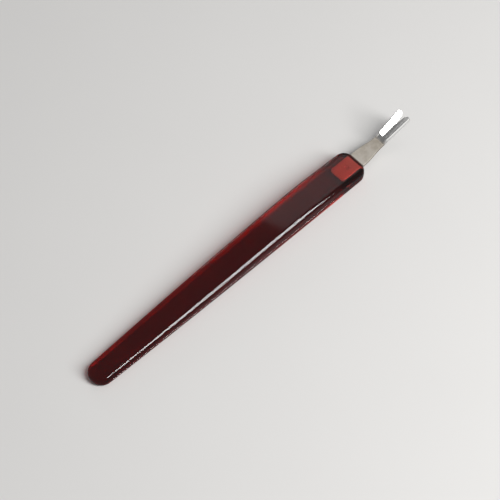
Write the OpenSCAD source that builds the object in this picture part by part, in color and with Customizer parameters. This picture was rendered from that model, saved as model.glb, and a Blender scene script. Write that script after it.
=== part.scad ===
// Cuticle trimmer: a moulded see-through handle with a forked steel blade set in its front end.
// It lies along X with the fork at +X, on its flat underside at z = 0.
// The origin is under the middle of its whole length.

/* [Handle] */
// Length of the handle, from the butt to the front face
handle_l = 100.7; // [80:1:130]
// Width across the round butt
butt_w = 7.4; // [6.5:0.1:9]
// Width just behind the front corners
front_w = 9.9; // [9:0.1:13]
// How far each long side bows out beyond a straight taper
side_bow = 0.35; // [0:0.05:0.8]
// Height at the butt
butt_h = 2.72; // [2.6:0.1:4]
// Height where the rising and the falling line of the top would meet
peak_h = 6.3; // [5.5:0.1:9]
// Distance of that meeting point from the front face
peak_back = 20; // [14:0.5:35]
// How far the rounded crest lies below that meeting point
crest_drop = 0.46; // [0.1:0.02:0.8]
// Height at the front face
front_h = 4.3; // [4:0.1:6]
// Radius of the front corners, seen from above
corner_r = 3.2; // [1.6:0.1:3.5]
// Radius of the upper long edges
top_edge_r = 1.4; // [0.6:0.1:1.5]
// Radius of the lower long edges
bottom_edge_r = 1; // [0.4:0.1:1]

/* [Blade] */
// Thickness of the steel strip
strip_t = 0.9; // [0.6:0.05:1.2]
// Width of the tang, and of the strip where it leaves the handle
base_w = 5.2; // [4.6:0.05:6.5]
// Width at the waist, where the fork starts
waist_w = 3.5; // [3:0.05:4.4]
// Length of the flat neck, from the front face to the waist
neck_l = 9.3; // [8:0.1:14]
// Height of the strip's middle above the underside, at the front face
strip_z = 2.5; // [2.2:0.05:3]
// Rise of the neck above level
neck_rise = 3; // [0:0.5:6]
// Rise of the fork above level
fork_rise = 16; // [10:0.5:25]
// Length of the fork, from the waist to the tips
fork_l = 10.7; // [8:0.1:13]
// Angle that each side of the fork is folded up
fold_a = 27; // [15:1:40]
// Width of each folded side at the tips, along its own slope
arm_w = 2.6; // [2.2:0.05:3.2]
// Length of the folding zone, from the waist to the full fold
fold_l = 1.6; // [1:0.1:2.5]
// How far the fold line is pressed below the flat strip
fold_drop = 0.05; // [0:0.05:0.5]
// Depth of the notch between the prongs
notch_l = 3.7; // [2.5:0.1:5]
// Width of the notch at its mouth
notch_w = 1.5; // [1:0.05:2]
// Radius of the notch's inner end
notch_r = 0.3; // [0.2:0.05:0.5]

/* [Tang] */
// Length of the strip that is set in the handle
tang_l = 8.4; // [6:0.1:12]
// Diameter of the keying dimple in the top of the tang, which the moulding fills
key_d = 1.5; // [1:0.1:2.5]
// Depth of the keying dimple
key_depth = 0.3; // [0.1:0.05:0.4]
// Gap all round between the tang and the moulding
tang_gap = 0; // [0:0.01:0.1]

/* [Hidden] */
step_count = 12;
lap = 0.05;
sink = 0.01;
past = 1;
tang_corner_r = 0.9;
tip_round = 0.85;
tip_flat = 1.4;
flare_at = 0.24;
flare_share = 0.5;
tang_w = base_w;
tip_dip = (arm_w - tip_flat * tip_round) * sin(fold_a) - strip_t / 2 * cos(fold_a) - fold_drop;
reach = neck_l * cos(neck_rise) + fork_l * cos(fork_rise) - tip_dip * sin(fork_rise);
total_l = handle_l + reach;
butt_x = -total_l / 2;
front_x = butt_x + handle_l;
peak_x = handle_l - peak_back;

// Height of the top at a distance from the butt: two straight lines with a rounded meeting.
function rising(x) = butt_h + (peak_h - butt_h) * x / peak_x;
function falling(x) = front_h + (peak_h - front_h) * (handle_l - x) / peak_back;
function top_z(x) =
    (rising(x) + falling(x)) / 2
    - sqrt(pow((rising(x) - falling(x)) / 2, 2) + pow(crest_drop, 2));

// Half the width at a distance from the butt.
function half_w(x) =
    let (u = x / handle_l)
    (butt_w + (front_w - butt_w) * u) / 2 + side_bow * 4 * u * (1 - u);

// A round puck with rounded edges, standing on z = 0.
module puck(r, h, fn) {
    rt = min(top_edge_r, r);
    rb = min(bottom_edge_r, r);
    rotate_extrude($fn = fn)
        polygon(concat(
            [[0, 0]],
            [for (a = [-90 : 15 : 0]) [r - rb + rb * cos(a), rb + rb * sin(a)]],
            [for (a = [0 : 15 : 90]) [r - rt + rt * cos(a), h - rt + rt * sin(a)]],
            [[0, h]]
        ));
}

// The handle's outer form, with its butt at x = 0.
module handle_form() {
    edge_r = max(top_edge_r, bottom_edge_r);
    butt_r = butt_w / 2;
    last_x = handle_l - corner_r;
    hull() {
        translate([butt_r, 0, 0])
            puck(butt_r, top_z(butt_r), 64);
        for (i = [1 : step_count - 1]) {
            x = butt_r + (last_x - butt_r) * i / step_count;
            for (side = [-1, 1])
                translate([x, side * (half_w(x) - edge_r), 0])
                    puck(edge_r, top_z(x), 32);
        }
        for (side = [-1, 1])
            translate([last_x, side * (half_w(last_x) - corner_r), 0])
                puck(corner_r, top_z(handle_l - corner_r / 2), 48);
    }
}

// Places children in the strip's own frame: x from the front face, z from the strip's middle.
module on_strip() {
    translate([front_x, 0, strip_z])
        rotate([0, -neck_rise, 0])
            children();
}

// Places children in the fork's own frame: x from the waist, z from the fold line.
module on_fork() {
    on_strip()
        translate([neck_l, 0, 0])
            rotate([0, neck_rise - fork_rise, 0])
                translate([0, 0, -fold_drop])
                    children();
}

// The tang: the buried end of the strip, with its keying dimple, grown all round by a gap.
module tang(gap, front) {
    r = tang_corner_r + gap;
    back = -tang_l - gap;
    half = tang_w / 2 + gap;
    difference() {
        translate([0, 0, -strip_t / 2 - gap])
            linear_extrude(strip_t + 2 * gap)
                polygon(concat(
                    [for (a = [180 : 15 : 270]) [back + r + r * cos(a), -half + r + r * sin(a)]],
                    [[front, -half], [front, half]],
                    [for (a = [90 : 15 : 180]) [back + r + r * cos(a), half - r + r * sin(a)]]
                ));
        translate([-tang_l / 2, 0, strip_t / 2 - key_depth + gap])
            cylinder(d = key_d - 2 * gap, h = key_depth + past, $fn = 32);
    }
}

// Half the width of the neck at a distance from the front face: level, then a smooth draw-in.
function neck_half(x) =
    let (u = min(1, max(0, (x / neck_l - 0.12) / 0.84)))
    (waist_w + (base_w - waist_w) * (1 + cos(180 * u)) / 2) / 2;

// The flat neck, which starts at the front face with the strip's full width.
module neck() {
    steps = 16;
    xs = [for (i = [0 : steps]) neck_l * i / steps];
    translate([0, 0, -strip_t / 2])
        linear_extrude(strip_t)
            polygon(concat(
                [for (x = xs) [x, -neck_half(x)]],
                [for (i = [steps : -1 : 0]) [xs[i], neck_half(xs[i])]]
            ));
}

// One folded side of the fork, flat in its own plane, from the fold line outwards.
module arm_outline() {
    root = waist_w / 2;
    mid_x = fork_l * flare_at;
    mid_w = root + (arm_w - root) * flare_share;
    polygon(concat(
        [[fold_l, 0], [fold_l, root + (mid_w - root) * fold_l / mid_x], [mid_x, mid_w]],
        [for (a = [90 : -10 : 0])
            [fork_l - tip_round + tip_round * cos(a), arm_w - tip_round + tip_round * sin(a)]],
        [[fork_l, arm_w - tip_flat * tip_round], [fork_l - tip_round, 0]]
    ));
}

// The notch, narrow and round at its inner end and open past the tips.
module notch() {
    inner_x = fork_l - notch_l + notch_r;
    translate([0, 0, -fork_l / 2])
        linear_extrude(fork_l)
            polygon(concat(
                [for (a = [90 : 15 : 270]) [inner_x + notch_r * cos(a), notch_r * sin(a)]],
                [[fork_l - tip_round, -notch_w / 2], [fork_l + past, -notch_w / 2 - past / 2]],
                [[fork_l + past, notch_w / 2 + past / 2], [fork_l - tip_round, notch_w / 2]]
            ));
}

// The strip's end on one side of the middle, drawn out into the start of the folded side.
module fold_side(side) {
    start_w = waist_w / 2 + (arm_w - waist_w / 2) * flare_share * fold_l / (fork_l * flare_at);
    slab_t = strip_t - 2 * sink;
    hull() {
        on_strip()
            translate([neck_l - lap, side > 0 ? 0 : sink - waist_w / 2, -slab_t / 2])
                cube([lap, waist_w / 2 - sink, slab_t]);
        on_fork()
            rotate([side * fold_a, 0, 0])
                translate([fold_l, side > 0 ? 0 : sink - start_w, -slab_t / 2])
                    cube([lap, start_w - sink, slab_t]);
    }
}

module handle() {
    color([0.35, 0.05, 0.06])
        difference() {
            translate([butt_x, 0, 0])
                handle_form();
            on_strip()
                tang(tang_gap, past);
        }
}

module blade() {
    color([0.72, 0.71, 0.69])
        union() {
            on_strip()
                tang(0, 0);
            on_strip()
                neck();
            for (side = [-1, 1])
                fold_side(side);
            on_fork()
                difference() {
                    union() {
                        for (side = [0, 1])
                            mirror([0, side, 0])
                                rotate([fold_a, 0, 0])
                                    translate([0, 0, -strip_t / 2])
                                        linear_extrude(strip_t)
                                            arm_outline();
                        translate([fold_l, 0, 0])
                            rotate([0, 90, 0])
                                cylinder(d = strip_t, h = fork_l - fold_l - tip_round, $fn = 32);
                    }
                    notch();
                }
        }
}

handle();
blade();
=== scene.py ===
"""A cuticle trimmer: a see-through moulded handle with a forked steel blade in its front end."""

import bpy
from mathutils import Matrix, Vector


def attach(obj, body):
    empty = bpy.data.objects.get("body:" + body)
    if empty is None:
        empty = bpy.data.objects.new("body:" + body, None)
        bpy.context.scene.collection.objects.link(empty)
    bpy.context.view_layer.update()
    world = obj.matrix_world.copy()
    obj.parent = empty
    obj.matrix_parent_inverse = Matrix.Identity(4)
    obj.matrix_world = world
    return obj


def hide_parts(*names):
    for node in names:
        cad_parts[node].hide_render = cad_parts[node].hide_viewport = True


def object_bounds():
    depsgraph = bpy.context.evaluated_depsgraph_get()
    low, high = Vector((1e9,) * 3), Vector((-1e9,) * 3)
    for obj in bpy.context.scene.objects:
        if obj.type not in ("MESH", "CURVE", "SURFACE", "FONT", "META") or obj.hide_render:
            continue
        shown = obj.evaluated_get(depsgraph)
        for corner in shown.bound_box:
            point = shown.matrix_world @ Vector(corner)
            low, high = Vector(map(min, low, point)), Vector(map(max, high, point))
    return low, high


bl_info = {
    "name": "Cuticle Trimmer",
    "version": (1, 0, 0),
    "blender": (4, 5, 0),
    "location": "View3D > Sidebar > Trimmer",
    "description": "Builds a cuticle trimmer with a see-through handle and a forked steel blade",
    "category": "Add Mesh",
}

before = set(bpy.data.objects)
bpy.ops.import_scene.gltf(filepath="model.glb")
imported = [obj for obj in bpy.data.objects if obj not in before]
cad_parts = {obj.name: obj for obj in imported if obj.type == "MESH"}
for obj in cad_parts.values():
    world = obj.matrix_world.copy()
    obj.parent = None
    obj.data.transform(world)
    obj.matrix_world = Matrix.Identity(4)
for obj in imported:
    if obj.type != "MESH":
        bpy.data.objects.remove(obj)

import math

import bmesh
import bpy
from mathutils import Matrix, Vector

CAD_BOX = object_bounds()
BUTT_X = CAD_BOX[0].x
MM = 0.001


# Sizes and colours that a user may change


class HandleSizes(bpy.types.PropertyGroup):
    """Sizes of the moulded handle."""

    length: bpy.props.FloatProperty(
        name="Length",
        description="Length of the handle, from the butt to the front face",
        default=100.7 * MM,
        min=80 * MM,
        max=130 * MM,
        unit="LENGTH",
    )
    butt_width: bpy.props.FloatProperty(
        name="Butt width",
        description="Width across the round butt",
        default=7.4 * MM,
        unit="LENGTH",
    )
    front_width: bpy.props.FloatProperty(
        name="Front width",
        description="Width just behind the front corners",
        default=9.9 * MM,
        unit="LENGTH",
    )
    side_bow: bpy.props.FloatProperty(
        name="Side bow",
        description="How far each long side bows out beyond a straight taper",
        default=0.35 * MM,
        unit="LENGTH",
    )
    butt_height: bpy.props.FloatProperty(
        name="Butt height",
        description="Height at the butt",
        default=2.72 * MM,
        unit="LENGTH",
    )
    peak_height: bpy.props.FloatProperty(
        name="Peak height",
        description="Height where the rising and falling lines of the top would meet",
        default=6.3 * MM,
        unit="LENGTH",
    )
    peak_back: bpy.props.FloatProperty(
        name="Peak setback",
        description="Distance of that meeting point from the front face",
        default=20.0 * MM,
        unit="LENGTH",
    )
    crest_drop: bpy.props.FloatProperty(
        name="Crest drop",
        description="How far the rounded crest lies below that meeting point",
        default=0.46 * MM,
        unit="LENGTH",
    )
    front_height: bpy.props.FloatProperty(
        name="Front height",
        description="Height at the front face",
        default=4.3 * MM,
        unit="LENGTH",
    )
    corner_radius: bpy.props.FloatProperty(
        name="Corner radius",
        description="Radius of the front corners, seen from above",
        default=3.2 * MM,
        unit="LENGTH",
    )
    top_radius: bpy.props.FloatProperty(
        name="Top edge radius",
        description="Radius of the upper long edges",
        default=1.35 * MM,
        unit="LENGTH",
    )
    bottom_radius: bpy.props.FloatProperty(
        name="Bottom edge radius",
        description="Radius of the lower long edges",
        default=0.95 * MM,
        unit="LENGTH",
    )
    parting_share: bpy.props.FloatProperty(
        name="Parting line height",
        description="Height of the mould's parting line, as a share of the handle's height",
        default=0.43,
        subtype="FACTOR",
    )
    parting_ridge: bpy.props.FloatProperty(
        name="Parting ridge",
        description="How far the parting line's fine ridge stands out of the sides",
        default=0.045 * MM,
        unit="LENGTH",
    )
    draft: bpy.props.FloatProperty(
        name="Draft",
        description="Slope of the side walls away from the parting line",
        default=math.radians(1.2),
        unit="ROTATION",
    )


class BladeSizes(bpy.types.PropertyGroup):
    """Sizes of the stamped blade."""

    thickness: bpy.props.FloatProperty(
        name="Thickness",
        description="Thickness of the steel strip",
        default=0.9 * MM,
        unit="LENGTH",
    )
    base_width: bpy.props.FloatProperty(
        name="Base width",
        description="Width of the strip where it leaves the handle, and of the tang",
        default=5.2 * MM,
        unit="LENGTH",
    )
    waist_width: bpy.props.FloatProperty(
        name="Waist width",
        description="Width at the waist, where the fork starts",
        default=3.5 * MM,
        unit="LENGTH",
    )
    neck_length: bpy.props.FloatProperty(
        name="Neck length",
        description="Length of the flat neck, from the front face to the waist",
        default=9.3 * MM,
        unit="LENGTH",
    )
    strip_height: bpy.props.FloatProperty(
        name="Strip height",
        description="Height of the strip's middle at the front face",
        default=2.5 * MM,
        unit="LENGTH",
    )
    neck_rise: bpy.props.FloatProperty(
        name="Neck rise",
        description="Rise of the neck above level",
        default=math.radians(3),
        unit="ROTATION",
    )
    fork_rise: bpy.props.FloatProperty(
        name="Fork rise",
        description="Rise of the fork above level",
        default=math.radians(16),
        unit="ROTATION",
    )
    fork_length: bpy.props.FloatProperty(
        name="Fork length",
        description="Length of the fork, from the waist to the tips",
        default=10.7 * MM,
        unit="LENGTH",
    )
    fold: bpy.props.FloatProperty(
        name="Fold",
        description="Angle that each side of the fork is folded up",
        default=math.radians(27),
        unit="ROTATION",
    )
    fold_length: bpy.props.FloatProperty(
        name="Fold length",
        description="Length of the folding zone, from the waist to the full fold",
        default=1.6 * MM,
        unit="LENGTH",
    )
    fold_radius: bpy.props.FloatProperty(
        name="Fold radius",
        description="Roundness of the fold line at the bottom of the channel",
        default=0.3 * MM,
        unit="LENGTH",
    )
    arm_width: bpy.props.FloatProperty(
        name="Arm width",
        description="Width of each folded side at the tips, along its own slope",
        default=2.6 * MM,
        unit="LENGTH",
    )
    notch_length: bpy.props.FloatProperty(
        name="Notch length",
        description="Depth of the notch between the prongs",
        default=3.7 * MM,
        unit="LENGTH",
    )
    notch_width: bpy.props.FloatProperty(
        name="Notch width",
        description="Width of the notch at its mouth",
        default=1.5 * MM,
        unit="LENGTH",
    )
    notch_radius: bpy.props.FloatProperty(
        name="Notch end radius",
        description="Radius of the notch's inner end",
        default=0.3 * MM,
        unit="LENGTH",
    )
    tang_length: bpy.props.FloatProperty(
        name="Tang length",
        description="Length of the strip that is set in the handle",
        default=8.4 * MM,
        unit="LENGTH",
    )
    tang_corner: bpy.props.FloatProperty(
        name="Tang corner radius",
        description="Radius of the two corners at the tang's buried end",
        default=0.9 * MM,
        unit="LENGTH",
    )
    key_diameter: bpy.props.FloatProperty(
        name="Keying dimple",
        description="Diameter of the dimple in the top of the tang, which the moulding fills",
        default=1.5 * MM,
        unit="LENGTH",
    )
    key_depth: bpy.props.FloatProperty(
        name="Dimple depth",
        description="Depth of the keying dimple",
        default=0.3 * MM,
        unit="LENGTH",
    )
    edge_chamfer: bpy.props.FloatProperty(
        name="Edge chamfer",
        description="Width of the dulled edges all round the strip",
        default=0.07 * MM,
        unit="LENGTH",
    )


class FinishColours(bpy.types.PropertyGroup):
    """Colours of the plastic and the steel."""

    plastic: bpy.props.FloatVectorProperty(
        name="Plastic",
        description="Tint of the handle's see-through plastic",
        default=(0.9, 0.25, 0.2),
        min=0,
        max=1,
        subtype="COLOR",
    )
    plastic_cloud: bpy.props.FloatVectorProperty(
        name="Plastic clouding",
        description="Tint of the faint darker clouding in the plastic",
        default=(0.82, 0.21, 0.17),
        min=0,
        max=1,
        subtype="COLOR",
    )
    # Painted shade: colour of a dark underside layer that keeps the see-through body dark, as if
    # no light came up through it.
    painted_shade_backing: bpy.props.FloatVectorProperty(
        name="Backing",
        description="Dark colour of the handle's underside, which shows through the body above it",
        default=(0.12, 0.012, 0.01),
        min=0,
        max=1,
        subtype="COLOR",
    )
    steel: bpy.props.FloatVectorProperty(
        name="Steel",
        description="Colour of the bare steel",
        default=(0.7, 0.65, 0.58),
        min=0,
        max=1,
        subtype="COLOR",
    )
    stain: bpy.props.FloatVectorProperty(
        name="Steel staining",
        description="Colour of the faint handling stains on the neck",
        default=(0.45, 0.4, 0.33),
        min=0,
        max=1,
        subtype="COLOR",
    )
    polished: bpy.props.FloatVectorProperty(
        name="Polished steel",
        description="Colour of the polished fork",
        default=(0.8, 0.79, 0.77),
        min=0,
        max=1,
        subtype="COLOR",
    )
    floor: bpy.props.FloatVectorProperty(
        name="Floor",
        description="Colour of the plain floor",
        default=(0.66, 0.65, 0.635),
        min=0,
        max=1,
        subtype="COLOR",
    )


class StageSettings(bpy.types.PropertyGroup):
    """Camera and light for the finished trimmer."""

    turn: bpy.props.FloatProperty(
        name="Camera turn",
        description="Turn of the camera round the trimmer, from straight across it",
        default=math.radians(43.41),
        unit="ROTATION",
    )
    elevation: bpy.props.FloatProperty(
        name="Camera elevation",
        description="Height of the camera above the horizon",
        default=math.radians(60),
        unit="ROTATION",
    )
    distance: bpy.props.FloatProperty(
        name="Camera distance",
        description="Distance from the camera to the trimmer",
        default=0.5,
        unit="LENGTH",
    )
    lens: bpy.props.FloatProperty(
        name="Lens",
        description="Focal length in millimetres on a sensor 36 mm wide",
        default=128.95,
    )
    ambient: bpy.props.FloatProperty(
        name="Ambient light",
        description="Strength of the even light from all round",
        default=0.2,
        min=0,
    )
    key_power: bpy.props.FloatProperty(
        name="Key light",
        description="Power of the soft box above the trimmer's near side",
        default=6.4,
        min=0,
        unit="POWER",
    )
    overhead_power: bpy.props.FloatProperty(
        name="Overhead light",
        description="Power of the weak soft box beyond the trimmer, which its flat faces mirror",
        default=0.17,
        min=0,
        unit="POWER",
    )
    rim_power: bpy.props.FloatProperty(
        name="Rim light",
        description="Power of the low light behind the trimmer",
        default=0.42,
        min=0,
        unit="POWER",
    )


# Shader nodes as Python expressions


class Signal:
    """An output of a shader node that Python's operators work on."""

    def __init__(self, tree, socket):
        self.tree = tree
        self.socket = socket

    def into(self, socket):
        self.tree.links.new(self.socket, socket)

    def math(self, operation, *others, flip=False):
        node = self.tree.nodes.new("ShaderNodeMath")
        node.operation = operation
        values = (*others, self) if flip else (self, *others)
        for slot, value in zip(node.inputs, values):
            if isinstance(value, Signal):
                value.into(slot)
            else:
                slot.default_value = value
        return Signal(self.tree, node.outputs[0])

    def __add__(self, other):
        return self.math("ADD", other)

    __radd__ = __add__

    def __sub__(self, other):
        return self.math("SUBTRACT", other)

    def __rsub__(self, other):
        return self.math("SUBTRACT", other, flip=True)

    def __mul__(self, other):
        return self.math("MULTIPLY", other)

    __rmul__ = __mul__

    def __truediv__(self, other):
        return self.math("DIVIDE", other)

    def clamped(self):
        return self.math("MAXIMUM", 0.0).math("MINIMUM", 1.0)

    def ramp(self, low, high):
        """0 up to low, 1 from high, and straight between them."""
        return ((self - low) / (high - low)).clamped()


class Finish:
    """A material whose nodes are added one by one."""

    def __init__(self, name):
        self.material = bpy.data.materials.new(name)
        self.material.use_nodes = True
        self.tree = self.material.node_tree
        self.tree.nodes.clear()
        self.output = self.tree.nodes.new("ShaderNodeOutputMaterial")
        self.place = self.add("ShaderNodeTexCoord", out="Object")

    def add(self, kind, settings=None, out=0, **inputs):
        """Adds a node: its settings first, then its inputs by name, with _ for a space."""
        node = self.tree.nodes.new(kind)
        for key, value in (settings or {}).items():
            setattr(node, key, value)
        for key, value in inputs.items():
            slot = self.slot(node, key.replace("_", " "))
            if isinstance(value, Signal):
                value.into(slot)
            elif hasattr(value, "__len__") and len(slot.default_value) > len(value):
                slot.default_value = (*value, 1)
            else:
                slot.default_value = value
        return Signal(self.tree, self.slot(node, out, node.outputs))

    @staticmethod
    def slot(node, key, sockets=None):
        sockets = node.inputs if sockets is None else sockets
        if isinstance(key, int):
            return sockets[key]
        for socket in sockets:
            if socket.name == key and socket.enabled:
                return socket
        raise KeyError(f"{node.bl_idname} has no socket named {key}")

    def scaled(self, x, y, z):
        """The place on the piece with each axis scaled on its own."""
        return self.add("ShaderNodeMapping", Vector=self.place, Scale=(x, y, z))

    def noise(self, vector, scale, detail=3.0, roughness=0.5):
        return self.add(
            "ShaderNodeTexNoise",
            out="Fac",
            Vector=vector,
            Scale=scale,
            Detail=detail,
            Roughness=roughness,
        )

    def mix(self, factor, first, second):
        """A colour between two."""
        return self.add(
            "ShaderNodeMix",
            {"data_type": "RGBA"},
            out="Result",
            Factor=factor,
            A=first,
            B=second,
        )

    def axis(self, name):
        """One coordinate of the place on the piece."""
        return self.add("ShaderNodeSeparateXYZ", out=name, Vector=self.place)

    def bump(self, height, distance):
        return self.add(
            "ShaderNodeBump",
            out="Normal",
            Strength=1.0,
            Distance=distance,
            Height=height,
        )

    def surface(self, shader):
        shader.into(self.output.inputs["Surface"])


def see_through_plastic(colours):
    """Clear glossy red plastic over painted shade: a dark satin layer on the handle's underside
    that keeps the body dark.

    The painted shade is thin along the near edge of the front half, which lets a red band show
    there.
    """
    finish = Finish("see_through_red_plastic")
    clouds = finish.noise(finish.scaled(0.4, 1, 1), 160.0, 3.0).ramp(0.35, 0.7)
    colour = finish.mix(clouds, tuple(colours.plastic), tuple(colours.plastic_cloud))
    # Painted shade: dark, opaque satin over the underside and the lowest part of the sides, made
    # thin along the near edge of the front half.
    painted_shade_backing = 1 - finish.axis("Z").ramp(0.25 * MM, 0.9 * MM)
    near_edge = 1 - finish.axis("Y").ramp(-3.0 * MM, -1.5 * MM)
    thin = near_edge * finish.axis("X").ramp(-5 * MM, 12 * MM)
    cover = painted_shade_backing * (0.85 - thin * 0.7)
    colour = finish.mix(painted_shade_backing, colour, tuple(colours.painted_shade_backing))
    scuffs = finish.noise(finish.scaled(0.12, 1, 1), 2600.0, 4.0, 0.6).ramp(0.56, 0.78)
    smears = finish.noise(finish.place, 120.0, 3.0).ramp(0.45, 0.75)
    roughness = 0.04 + scuffs * 0.02 + smears * 0.03
    roughness = roughness + cover * (0.55 - roughness)
    ripple = finish.noise(finish.scaled(0.15, 1, 1), 170.0, 2.0)
    pits = finish.noise(finish.place, 900.0, 2.0).ramp(0.72, 0.8)
    height = ripple * 0.03 + scuffs * -0.003 + pits * -0.05
    normal = finish.bump(height, 0.00006)
    shader = finish.add(
        "ShaderNodeBsdfPrincipled",
        out="BSDF",
        Base_Color=colour,
        Roughness=roughness,
        Metallic=cover,
        Normal=normal,
        IOR=1.5,
        Transmission_Weight=1.0,
    )
    finish.surface(shader)
    body = finish.add(
        "ShaderNodeVolumeAbsorption",
        out="Volume",
        Color=(0.925, 0.25, 0.125),
        Density=400.0,
    )
    body.into(finish.output.inputs["Volume"])
    return finish.material


def stamped_steel(colours, sizes, front_x):
    """Stamped strip: a satin, stained neck, a polished fork, and duller sheared edges."""
    finish = Finish("stamped_steel")
    x = finish.axis("X")
    waist_x = front_x + sizes.neck_length
    fork = x.ramp(waist_x - 0.2 * MM, waist_x + 0.6 * MM)
    edge = finish.add("ShaderNodeAttribute", {"attribute_name": "cut_edge"}, out="Fac")
    grain = finish.noise(finish.scaled(0.06, 1, 1), 5200.0, 3.0, 0.6)
    blotches = finish.noise(finish.place, 420.0, 4.0, 0.55)
    stains = blotches.ramp(0.42, 0.62) * x.ramp(front_x, front_x + 1.5 * MM) * (1 - fork)
    # The neck darkens towards the waist.
    waist_darkening = x.ramp(front_x + 3 * MM, waist_x) * (1 - fork)
    colour = finish.mix(stains * 0.5 + waist_darkening * 0.35, tuple(colours.steel), tuple(colours.stain))
    colour = finish.mix(fork, colour, tuple(colours.polished))
    # Painted shade: a near-black band on the strip where it enters the handle's front face.
    painted_entry_shade = x.ramp(front_x - 1.25 * MM, front_x - 1.0 * MM)
    painted_entry_shade = painted_entry_shade * (1 - x.ramp(front_x + 0.05 * MM, front_x + 0.15 * MM))
    colour = finish.mix(painted_entry_shade * 0.85, colour, (0.06, 0.045, 0.04))
    roughness = 0.5 + grain * 0.1 - fork * 0.37 + stains * 0.06
    roughness = roughness + edge * (0.66 - roughness)
    normal = finish.bump((grain + blotches * 0.4) * (1 - fork * 0.85), 0.000015)
    shader = finish.add(
        "ShaderNodeBsdfPrincipled",
        out="BSDF",
        Base_Color=colour,
        Roughness=roughness,
        Normal=normal,
        Metallic=1.0,
    )
    finish.surface(shader)
    return finish.material


def plain_floor(colours):
    """A plain pale matt floor with the faintest mottling."""
    finish = Finish("pale_floor")
    mottle = finish.noise(finish.place, 30.0, 3.0)
    base = tuple(colours.floor)
    shade = tuple(channel * 0.975 for channel in base)
    colour = finish.mix(mottle, base, shade)
    shader = finish.add(
        "ShaderNodeBsdfPrincipled",
        out="BSDF",
        Base_Color=colour,
        Roughness=0.75,
    )
    finish.surface(shader)
    return finish.material


# Shared steps


def shown_object(name, bm):
    """Makes an object at the origin from a bmesh, and frees the bmesh."""
    bmesh.ops.recalc_face_normals(bm, faces=bm.faces[:])
    mesh = bpy.data.meshes.new(name)
    bm.to_mesh(mesh)
    bm.free()
    piece = bpy.data.objects.new(name, mesh)
    bpy.context.scene.collection.objects.link(piece)
    return piece


def carve(piece, cutter):
    """Cuts one object out of another for good, and removes the cutter."""
    cut = piece.modifiers.new("Pocket", "BOOLEAN")
    cut.operation = "DIFFERENCE"
    cut.solver = "EXACT"
    cut.object = cutter
    bpy.context.view_layer.update()
    graph = bpy.context.evaluated_depsgraph_get()
    carved = bpy.data.meshes.new_from_object(piece.evaluated_get(graph))
    piece.modifiers.clear()
    piece.data = carved
    bpy.data.objects.remove(cutter)


def smooth(piece, angle):
    """Shades a piece smooth, but for edges sharper than the angle."""
    piece.data.polygons.foreach_set("use_smooth", [True] * len(piece.data.polygons))
    piece.data.set_sharp_from_angle(angle=angle)
    even = piece.modifiers.new("Even shading", "WEIGHTED_NORMAL")
    even.keep_sharp = True
    even.weight = 60


def mark_cut_edges(piece):
    """Records which faces are the strip's sheared edges, for its material."""
    cut = piece.data.attributes.new("cut_edge", "FLOAT", "FACE")
    for face, value in zip(piece.data.polygons, cut.data):
        value.value = abs(face.normal.y) > 0.65 or abs(face.normal.x) > 0.6


def finish_piece(piece, material, node):
    """Gives a piece its material, and its place in the frame."""
    piece.data.materials.clear()
    piece.data.materials.append(material)
    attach(piece, "root")
    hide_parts(node)


# The handle


def top_height(sizes, x):
    """Height of the top, a distance from the butt: two straight lines with a rounded meeting."""
    peak_x = sizes.length - sizes.peak_back
    rising = sizes.butt_height + (sizes.peak_height - sizes.butt_height) * x / peak_x
    share = (sizes.length - x) / sizes.peak_back
    falling = sizes.front_height + (sizes.peak_height - sizes.front_height) * share
    return (rising + falling) / 2 - math.hypot((rising - falling) / 2, sizes.crest_drop)


def side_bulge(sizes, x):
    """How far the side stands outside a straight taper, a distance from the butt."""
    share = x / sizes.length
    return sizes.side_bow * 4 * share * (1 - share)


def handle_prism(sizes):
    """A straight-walled block with the handle's plan, 1 unit high, cut at every station."""
    bm = bmesh.new()
    bmesh.ops.create_cube(bm, size=1)
    bmesh.ops.translate(bm, vec=(0.5, 0, 0.5), verts=bm.verts)
    bmesh.ops.scale(bm, vec=(sizes.length, 1, 1), verts=bm.verts)
    for vert in bm.verts:
        at_butt = vert.co.x < sizes.length / 2
        vert.co.y *= sizes.butt_width if at_butt else sizes.front_width
    butt_radius = sizes.butt_width / 2 - 0.17 * MM
    for at_butt, radius, segments in (
        (True, butt_radius, 16),
        (False, sizes.corner_radius, 14),
    ):
        upright = [
            edge
            for edge in bm.edges
            if abs(edge.verts[0].co.z - edge.verts[1].co.z) > 0.5
            and (edge.verts[0].co.x < sizes.length / 2) == at_butt
        ]
        bmesh.ops.bevel(
            bm,
            geom=upright,
            offset=radius,
            offset_type="OFFSET",
            segments=segments,
            profile=0.5,
            affect="EDGES",
            material=-1,
        )
    first = sizes.butt_width / 2 + 0.5 * MM
    last = sizes.length - sizes.corner_radius - 0.5 * MM
    stations = 42
    for i in range(stations + 1):
        slice_at(bm, (first + (last - first) * i / stations, 0, 0), (1, 0, 0))
    for step in (-1, 0, 1):
        height = sizes.parting_share + step * 0.02
        slice_at(bm, (0, 0, height), (0, 0, 1))
    return bm


def slice_at(bm, point, normal):
    """Cuts a loop of edges right through a bmesh where a plane meets it."""
    geometry = bm.verts[:] + bm.edges[:] + bm.faces[:]
    bmesh.ops.bisect_plane(bm, geom=geometry, plane_co=point, plane_no=normal)


def shape_handle(bm, sizes):
    """Bows and drafts the prism's walls, slopes its top, and raises the parting ridge."""
    bm.normal_update()
    outward = {
        vert: Vector((vert.normal.x, vert.normal.y, 0)).normalized()
        for vert in bm.verts
    }
    for vert in bm.verts:
        x, y, share = vert.co
        height = top_height(sizes, min(max(x, sizes.butt_width / 2), sizes.length))
        ring = round((share - sizes.parting_share) / 0.02)
        parting_z = sizes.parting_share * height
        z = parting_z + ring * 0.03 * MM if abs(ring) <= 1 else share * height
        half = sizes.butt_width + (sizes.front_width - sizes.butt_width) * x / sizes.length
        vert.co.y += side_bulge(sizes, x) * y / (half / 2)
        inset = 0.002 * MM if ring == 0 else sizes.parting_ridge
        inset += math.tan(sizes.draft) * abs(z - parting_z)
        vert.co.z = z
        vert.co -= outward[vert] * inset


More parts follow.
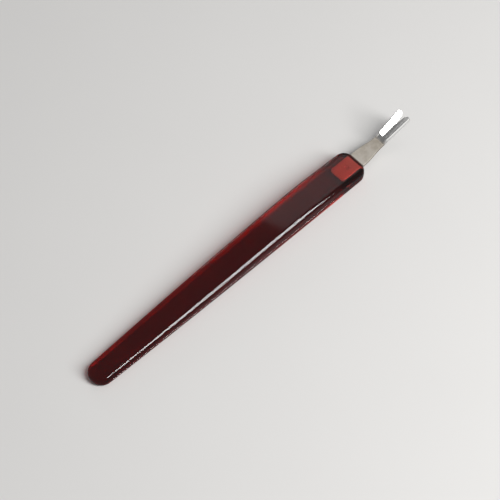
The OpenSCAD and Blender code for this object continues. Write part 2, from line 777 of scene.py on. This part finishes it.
def round_perimeter(bm, side, radius, segments):
    """Rounds the edges all round the top, for a side of 1, or the underside, for -1."""
    bm.normal_update()
    edges = []
    for edge in bm.edges:
        flat = [face.normal.z * side > 0.9 for face in edge.link_faces]
        if len(flat) == 2 and flat[0] != flat[1]:
            edges.append(edge)
    bmesh.ops.bevel(
        bm,
        geom=edges,
        offset=radius,
        offset_type="OFFSET",
        segments=segments,
        profile=0.5,
        affect="EDGES",
        clamp_overlap=True,
        material=-1,
    )


def handle_body(sizes):
    """The handle's whole outer form, with its butt at the frame's low end."""
    bm = handle_prism(sizes)
    shape_handle(bm, sizes)
    round_perimeter(bm, 1, sizes.top_radius, 12)
    round_perimeter(bm, -1, sizes.bottom_radius, 9)
    bm.normal_update()
    for sign in (1, -1):
        flats = [face for face in bm.faces if face.normal.z * sign > 0.985]
        bmesh.ops.inset_region(
            bm, faces=flats, thickness=0.12 * MM, use_even_offset=True
        )
    bmesh.ops.translate(bm, vec=(BUTT_X, 0, 0), verts=bm.verts)
    return bm


# The blade


def eased(low, high, count, ease_low=False, ease_high=False):
    """Stations from low up to high, closer together at an eased end."""
    stations = []
    for i in range(count):
        share = i / count
        if ease_low:
            share = 1 - math.cos(math.pi / 2 * share)
        elif ease_high:
            share = math.sin(math.pi / 2 * share)
        stations.append(low + (high - low) * share)
    return stations


def round_share(distance, radius):
    """Share of full width inside a rounded end: 0 at its tip, 1 from a radius on."""
    part = min(max(distance / radius, 0.0), 1.0)
    return math.sqrt(max(0.0, 1 - (1 - part) ** 2))


class StripPlan:
    """The flat strip's outline, by distance from the handle's front face."""

    crease = 0.05 * MM
    past_crease = 0.2 * MM
    neck_start = 0.12
    neck_draw = 0.84
    flare_at = 0.24
    flare_share = 0.5
    tip_round = 0.86 * MM
    tip_rows = 0.9 * MM
    notch_run = 1.15 * MM
    fold_sink = 0.052 * MM

    def __init__(self, sizes, grow=0.0, reach=None):
        self.sizes = sizes
        self.grow = grow
        self.back = -sizes.tang_length - grow
        self.tip = sizes.neck_length + sizes.fork_length if reach is None else reach
        self.whole = reach is None
        self.notch_at = sizes.neck_length + sizes.fork_length - sizes.notch_length
        self.arm_root = sizes.waist_width / 2

    def stations(self):
        s = self.sizes
        corner = self.back + s.tang_corner
        rows = eased(self.back, corner, 8, ease_low=True)
        if not self.whole:
            return rows + eased(corner, self.tip, 8) + [self.tip]
        crease = self.crease
        past = self.past_crease
        fold_end = s.neck_length + s.fold_length
        rows += eased(corner, 0.0, 12)
        rows += eased(0.0, s.neck_length - crease, 26)
        rows += [s.neck_length - crease, s.neck_length, s.neck_length + crease]
        rows += eased(s.neck_length + past, fold_end - crease, 5)
        rows += [fold_end - crease, fold_end, fold_end + crease]
        rows += eased(fold_end + past, self.notch_at, 16)
        rows += eased(self.notch_at, self.notch_at + s.notch_radius, 8, ease_low=True)
        tip_start = self.tip - self.tip_rows
        rows += eased(self.notch_at + s.notch_radius, tip_start, 12)
        return rows + eased(tip_start, self.tip, 12, ease_high=True) + [self.tip]

    def edge(self, x):
        """Half the width out to the strip's outer edge, before the tips are rounded."""
        s = self.sizes
        half = s.base_width / 2
        if x <= 0:
            share = round_share(x - self.back, s.tang_corner)
            return half + self.grow - s.tang_corner * (1 - share)
        if x <= s.neck_length:
            part = min(1.0, max(0.0, (x / s.neck_length - self.neck_start) / self.neck_draw))
            ease = (1 + math.cos(math.pi * part)) / 2
            return self.arm_root + (half - self.arm_root) * ease
        along = (x - s.neck_length) / s.fork_length
        middle = self.arm_root + (s.arm_width - self.arm_root) * self.flare_share
        if along < self.flare_at:
            part = along / self.flare_at
            return self.arm_root + (middle - self.arm_root) * part
        part = (along - self.flare_at) / (1 - self.flare_at)
        return middle + (s.arm_width - middle) * part

    def gap(self, x):
        """Half the width that the notch takes out of the middle."""
        s = self.sizes
        if self.whole and x > self.notch_at:
            inner = s.notch_radius * round_share(x - self.notch_at, s.notch_radius)
            run = (x - self.notch_at - s.notch_radius) / (s.notch_length - self.notch_run)
            spread = max(0.0, run) * (s.notch_width / 2 - s.notch_radius)
            return (inner + spread) / math.cos(s.fold)
        return 0.0

    def span(self, x):
        """Inner and outer distance from the middle, with the prong's tip rounded."""
        inner, outer = self.gap(x), self.edge(x)
        if not self.whole:
            return inner, outer
        middle, half = (inner + outer) / 2, (outer - inner) / 2
        share = round_share(self.tip - x, self.tip_round)
        return middle - half * share, middle + half * share

    def place(self, x, across):
        """Where a point of the flat strip ends up once the strip is pitched and folded."""
        s = self.sizes
        front_x = BUTT_X + bpy.context.scene.trimmer_handle.length
        neck = min(x, s.neck_length) if self.whole else x
        at = Vector((front_x + neck * math.cos(s.neck_rise), across, 0))
        at.z = s.strip_height + neck * math.sin(s.neck_rise)
        if neck < x:
            run = x - s.neck_length
            part = min(1.0, run / s.fold_length)
            lift = math.sin(s.fold) * math.hypot(across, s.fold_radius) - self.fold_sink
            at.y = across * (1 - part * (1 - math.cos(s.fold)))
            at.x += run * math.cos(s.fork_rise) - part * lift * math.sin(s.fork_rise)
            at.z += run * math.sin(s.fork_rise) + part * lift * math.cos(s.fork_rise)
        return at


def strip_solid(plan, thickness, columns):
    """A solid strip: half a grid laid on the plan, mirrored, folded and thickened."""
    rows = plan.stations()
    bm = bmesh.new()
    bmesh.ops.create_grid(bm, x_segments=len(rows) - 1, y_segments=columns, size=0.5)
    bmesh.ops.translate(bm, vec=(0.5, 0.5, 0), verts=bm.verts)
    for vert in bm.verts:
        x = rows[round(vert.co.x * (len(rows) - 1))]
        inner, outer = plan.span(x)
        vert.co = (x, inner + (outer - inner) * vert.co.y, 0)
    geometry = bm.verts[:] + bm.edges[:] + bm.faces[:]
    bmesh.ops.mirror(bm, geom=geometry, axis="Y", merge_dist=0.001 * MM)
    bmesh.ops.remove_doubles(bm, verts=bm.verts, dist=0.002 * MM)
    for vert in bm.verts:
        vert.co = plan.place(vert.co.x, vert.co.y)
    bmesh.ops.recalc_face_normals(bm, faces=bm.faces[:])
    if sum(face.normal.z for face in bm.faces) < 0:
        bmesh.ops.reverse_faces(bm, faces=bm.faces[:])
    bm.normal_update()
    lift = {vert: vert.normal * thickness / 2 for vert in bm.verts}
    for vert, offset in lift.items():
        vert.co += offset
    bmesh.ops.solidify(bm, geom=bm.faces[:], thickness=thickness)
    bm.normal_update()
    return bm


def keying_plug(plan, grow):
    """The tapered plug that fills the dimple in the top of the tang."""
    s = plan.sizes
    radius = s.key_diameter / 2 + grow
    depth = s.key_depth + grow
    bm = bmesh.new()
    bmesh.ops.create_cone(
        bm,
        cap_ends=True,
        segments=56,
        radius1=0.8 * radius,
        radius2=1.2 * radius,
        depth=2 * depth,
    )
    bmesh.ops.translate(bm, vec=(0, 0, s.thickness / 2), verts=bm.verts)
    turn = Matrix.Rotation(-s.neck_rise, 4, "Y")
    middle = plan.place(-s.tang_length / 2, 0)
    bmesh.ops.transform(bm, matrix=Matrix.Translation(middle) @ turn, verts=bm.verts)
    return bm


def dull_edges(bm, width):
    """Takes the sharpness off every edge between the strip's faces and its sides."""
    sharp = [
        edge
        for edge in bm.edges
        if len(edge.link_faces) == 2 and edge.calc_face_angle() > math.radians(55)
    ]
    bmesh.ops.bevel(
        bm,
        geom=sharp,
        offset=width,
        offset_type="OFFSET",
        segments=2,
        profile=0.5,
        affect="EDGES",
        clamp_overlap=True,
        material=-1,
    )


# Operators


class TRIMMER_OT_make_handle(bpy.types.Operator):
    """Build the moulded handle, with a pocket that hugs the blade's tang"""

    bl_idname = "trimmer.make_handle"
    bl_label = "Make Handle"

    def execute(self, context):
        sizes = context.scene.trimmer_handle
        blade = context.scene.trimmer_blade
        handle = shown_object("handle_moulding", handle_body(sizes))
        hug = 0.02 * MM
        plan = StripPlan(blade, grow=-hug, reach=1.0 * MM)
        pocket = shown_object("pocket", strip_solid(plan, blade.thickness - 2 * hug, 5))
        carve(pocket, shown_object("plug", keying_plug(plan, hug)))
        carve(handle, pocket)
        smooth(handle, math.radians(40))
        material = see_through_plastic(context.scene.trimmer_colours)
        finish_piece(handle, material, "handle")
        return {"FINISHED"}


class TRIMMER_OT_make_blade(bpy.types.Operator):
    """Build the stamped blade: tang, neck, and folded fork with its notch"""

    bl_idname = "trimmer.make_blade"
    bl_label = "Make Blade"

    def execute(self, context):
        sizes = context.scene.trimmer_blade
        plan = StripPlan(sizes)
        bm = strip_solid(plan, sizes.thickness, 8)
        dull_edges(bm, sizes.edge_chamfer)
        blade = shown_object("blade_strip", bm)
        carve(blade, shown_object("plug", keying_plug(plan, 0)))
        mark_cut_edges(blade)
        smooth(blade, math.radians(28))
        front_x = BUTT_X + context.scene.trimmer_handle.length
        material = stamped_steel(context.scene.trimmer_colours, sizes, front_x)
        finish_piece(blade, material, "blade")
        return {"FINISHED"}


class TRIMMER_OT_set_stage(bpy.types.Operator):
    """Lay the plain floor, and set the soft lights and the camera"""

    bl_idname = "trimmer.set_stage"
    bl_label = "Set Stage"

    def execute(self, context):
        stage = context.scene.trimmer_stage
        bm = bmesh.new()
        bmesh.ops.create_grid(bm, x_segments=4, y_segments=4, size=1.5)
        below = -0.04 * MM
        bmesh.ops.translate(bm, vec=(0, 0, below), verts=bm.verts)
        floor = shown_object("floor", bm)
        floor.data.materials.append(plain_floor(context.scene.trimmer_colours))
        world = bpy.data.worlds.new("soft_room")
        world.use_nodes = True
        background = world.node_tree.nodes["Background"]
        background.inputs["Color"].default_value = (0.97, 0.98, 1.0, 1)
        background.inputs["Strength"].default_value = stage.ambient
        context.scene.world = world
        floor.visible_glossy = False
        soft_box("key", (0.27, -0.64, 0.7), 0.685, (0.25, 0.62), stage.key_power)
        soft_box("overhead", (0.53, 0.31, 0.79), 0.76, (0.34, 0.3), stage.overhead_power)
        soft_box("rim", (0.38, 0.83, 0.26), 0.86, (0.3, 0.2), stage.rim_power)
        place_camera(stage)
        context.scene.view_settings.view_transform = "Standard"
        return {"FINISHED"}


def soft_box(name, direction, distance, size, power):
    """An area light, aimed at the trimmer's middle from a direction."""
    lamp = bpy.data.lights.new(name, "AREA")
    lamp.shape = "RECTANGLE"
    lamp.size, lamp.size_y = size
    lamp.energy = power
    light = bpy.data.objects.new(name, lamp)
    bpy.context.scene.collection.objects.link(light)
    towards = Vector(direction).normalized()
    light.matrix_world = aimed(towards * distance, towards)


def aimed(at, back):
    """A transform at a point that looks the other way from back, upright."""
    turn = back.to_track_quat("Z", "Y")
    return Matrix.Translation(at) @ turn.to_matrix().to_4x4()


def place_camera(stage):
    """The camera, which looks down along the trimmer from behind its near side."""
    turn, rise = stage.turn, stage.elevation
    right = Vector((math.cos(turn), -math.sin(turn), 0))
    back = Vector(
        (
            -math.sin(turn) * math.cos(rise),
            -math.cos(turn) * math.cos(rise),
            math.sin(rise),
        )
    )
    up = back.cross(right)
    middle = Vector((BUTT_X + 55 * MM, 0, 0))
    aim = middle + right * 2.63 * MM + up * 2.93 * MM
    lens = bpy.data.cameras.new("camera")
    lens.lens = stage.lens
    lens.sensor_width = 36
    lens.clip_start = 0.01
    camera = bpy.data.objects.new("camera", lens)
    bpy.context.scene.collection.objects.link(camera)
    camera.matrix_world = aimed(aim + back * stage.distance, back)
    bpy.context.scene.camera = camera


class TRIMMER_PT_sidebar(bpy.types.Panel):
    """The trimmer's sizes, colours and build steps"""

    bl_idname = "TRIMMER_PT_sidebar"
    bl_label = "Cuticle Trimmer"
    bl_space_type = "VIEW_3D"
    bl_region_type = "UI"
    bl_category = "Trimmer"

    def draw(self, context):
        scene = context.scene
        for title, group, operator in (
            ("Handle", scene.trimmer_handle, "trimmer.make_handle"),
            ("Blade", scene.trimmer_blade, "trimmer.make_blade"),
            ("Colours", scene.trimmer_colours, None),
            ("Stage", scene.trimmer_stage, "trimmer.set_stage"),
        ):
            box = self.layout.box()
            box.label(text=title)
            for key in group.__annotations__:
                box.prop(group, key)
            if operator:
                box.operator(operator)


CLASSES = (
    HandleSizes,
    BladeSizes,
    FinishColours,
    StageSettings,
    TRIMMER_OT_make_handle,
    TRIMMER_OT_make_blade,
    TRIMMER_OT_set_stage,
    TRIMMER_PT_sidebar,
)
GROUPS = {
    "trimmer_handle": HandleSizes,
    "trimmer_blade": BladeSizes,
    "trimmer_colours": FinishColours,
    "trimmer_stage": StageSettings,
}


def register():
    for cls in CLASSES:
        bpy.utils.register_class(cls)
    for name, group in GROUPS.items():
        setattr(bpy.types.Scene, name, bpy.props.PointerProperty(type=group))


def unregister():
    for name in GROUPS:
        delattr(bpy.types.Scene, name)
    for cls in reversed(CLASSES):
        bpy.utils.unregister_class(cls)


def main():
    register()
    bpy.ops.trimmer.make_handle()
    bpy.ops.trimmer.make_blade()
    bpy.ops.trimmer.set_stage()


if __name__ == "__main__":
    main()
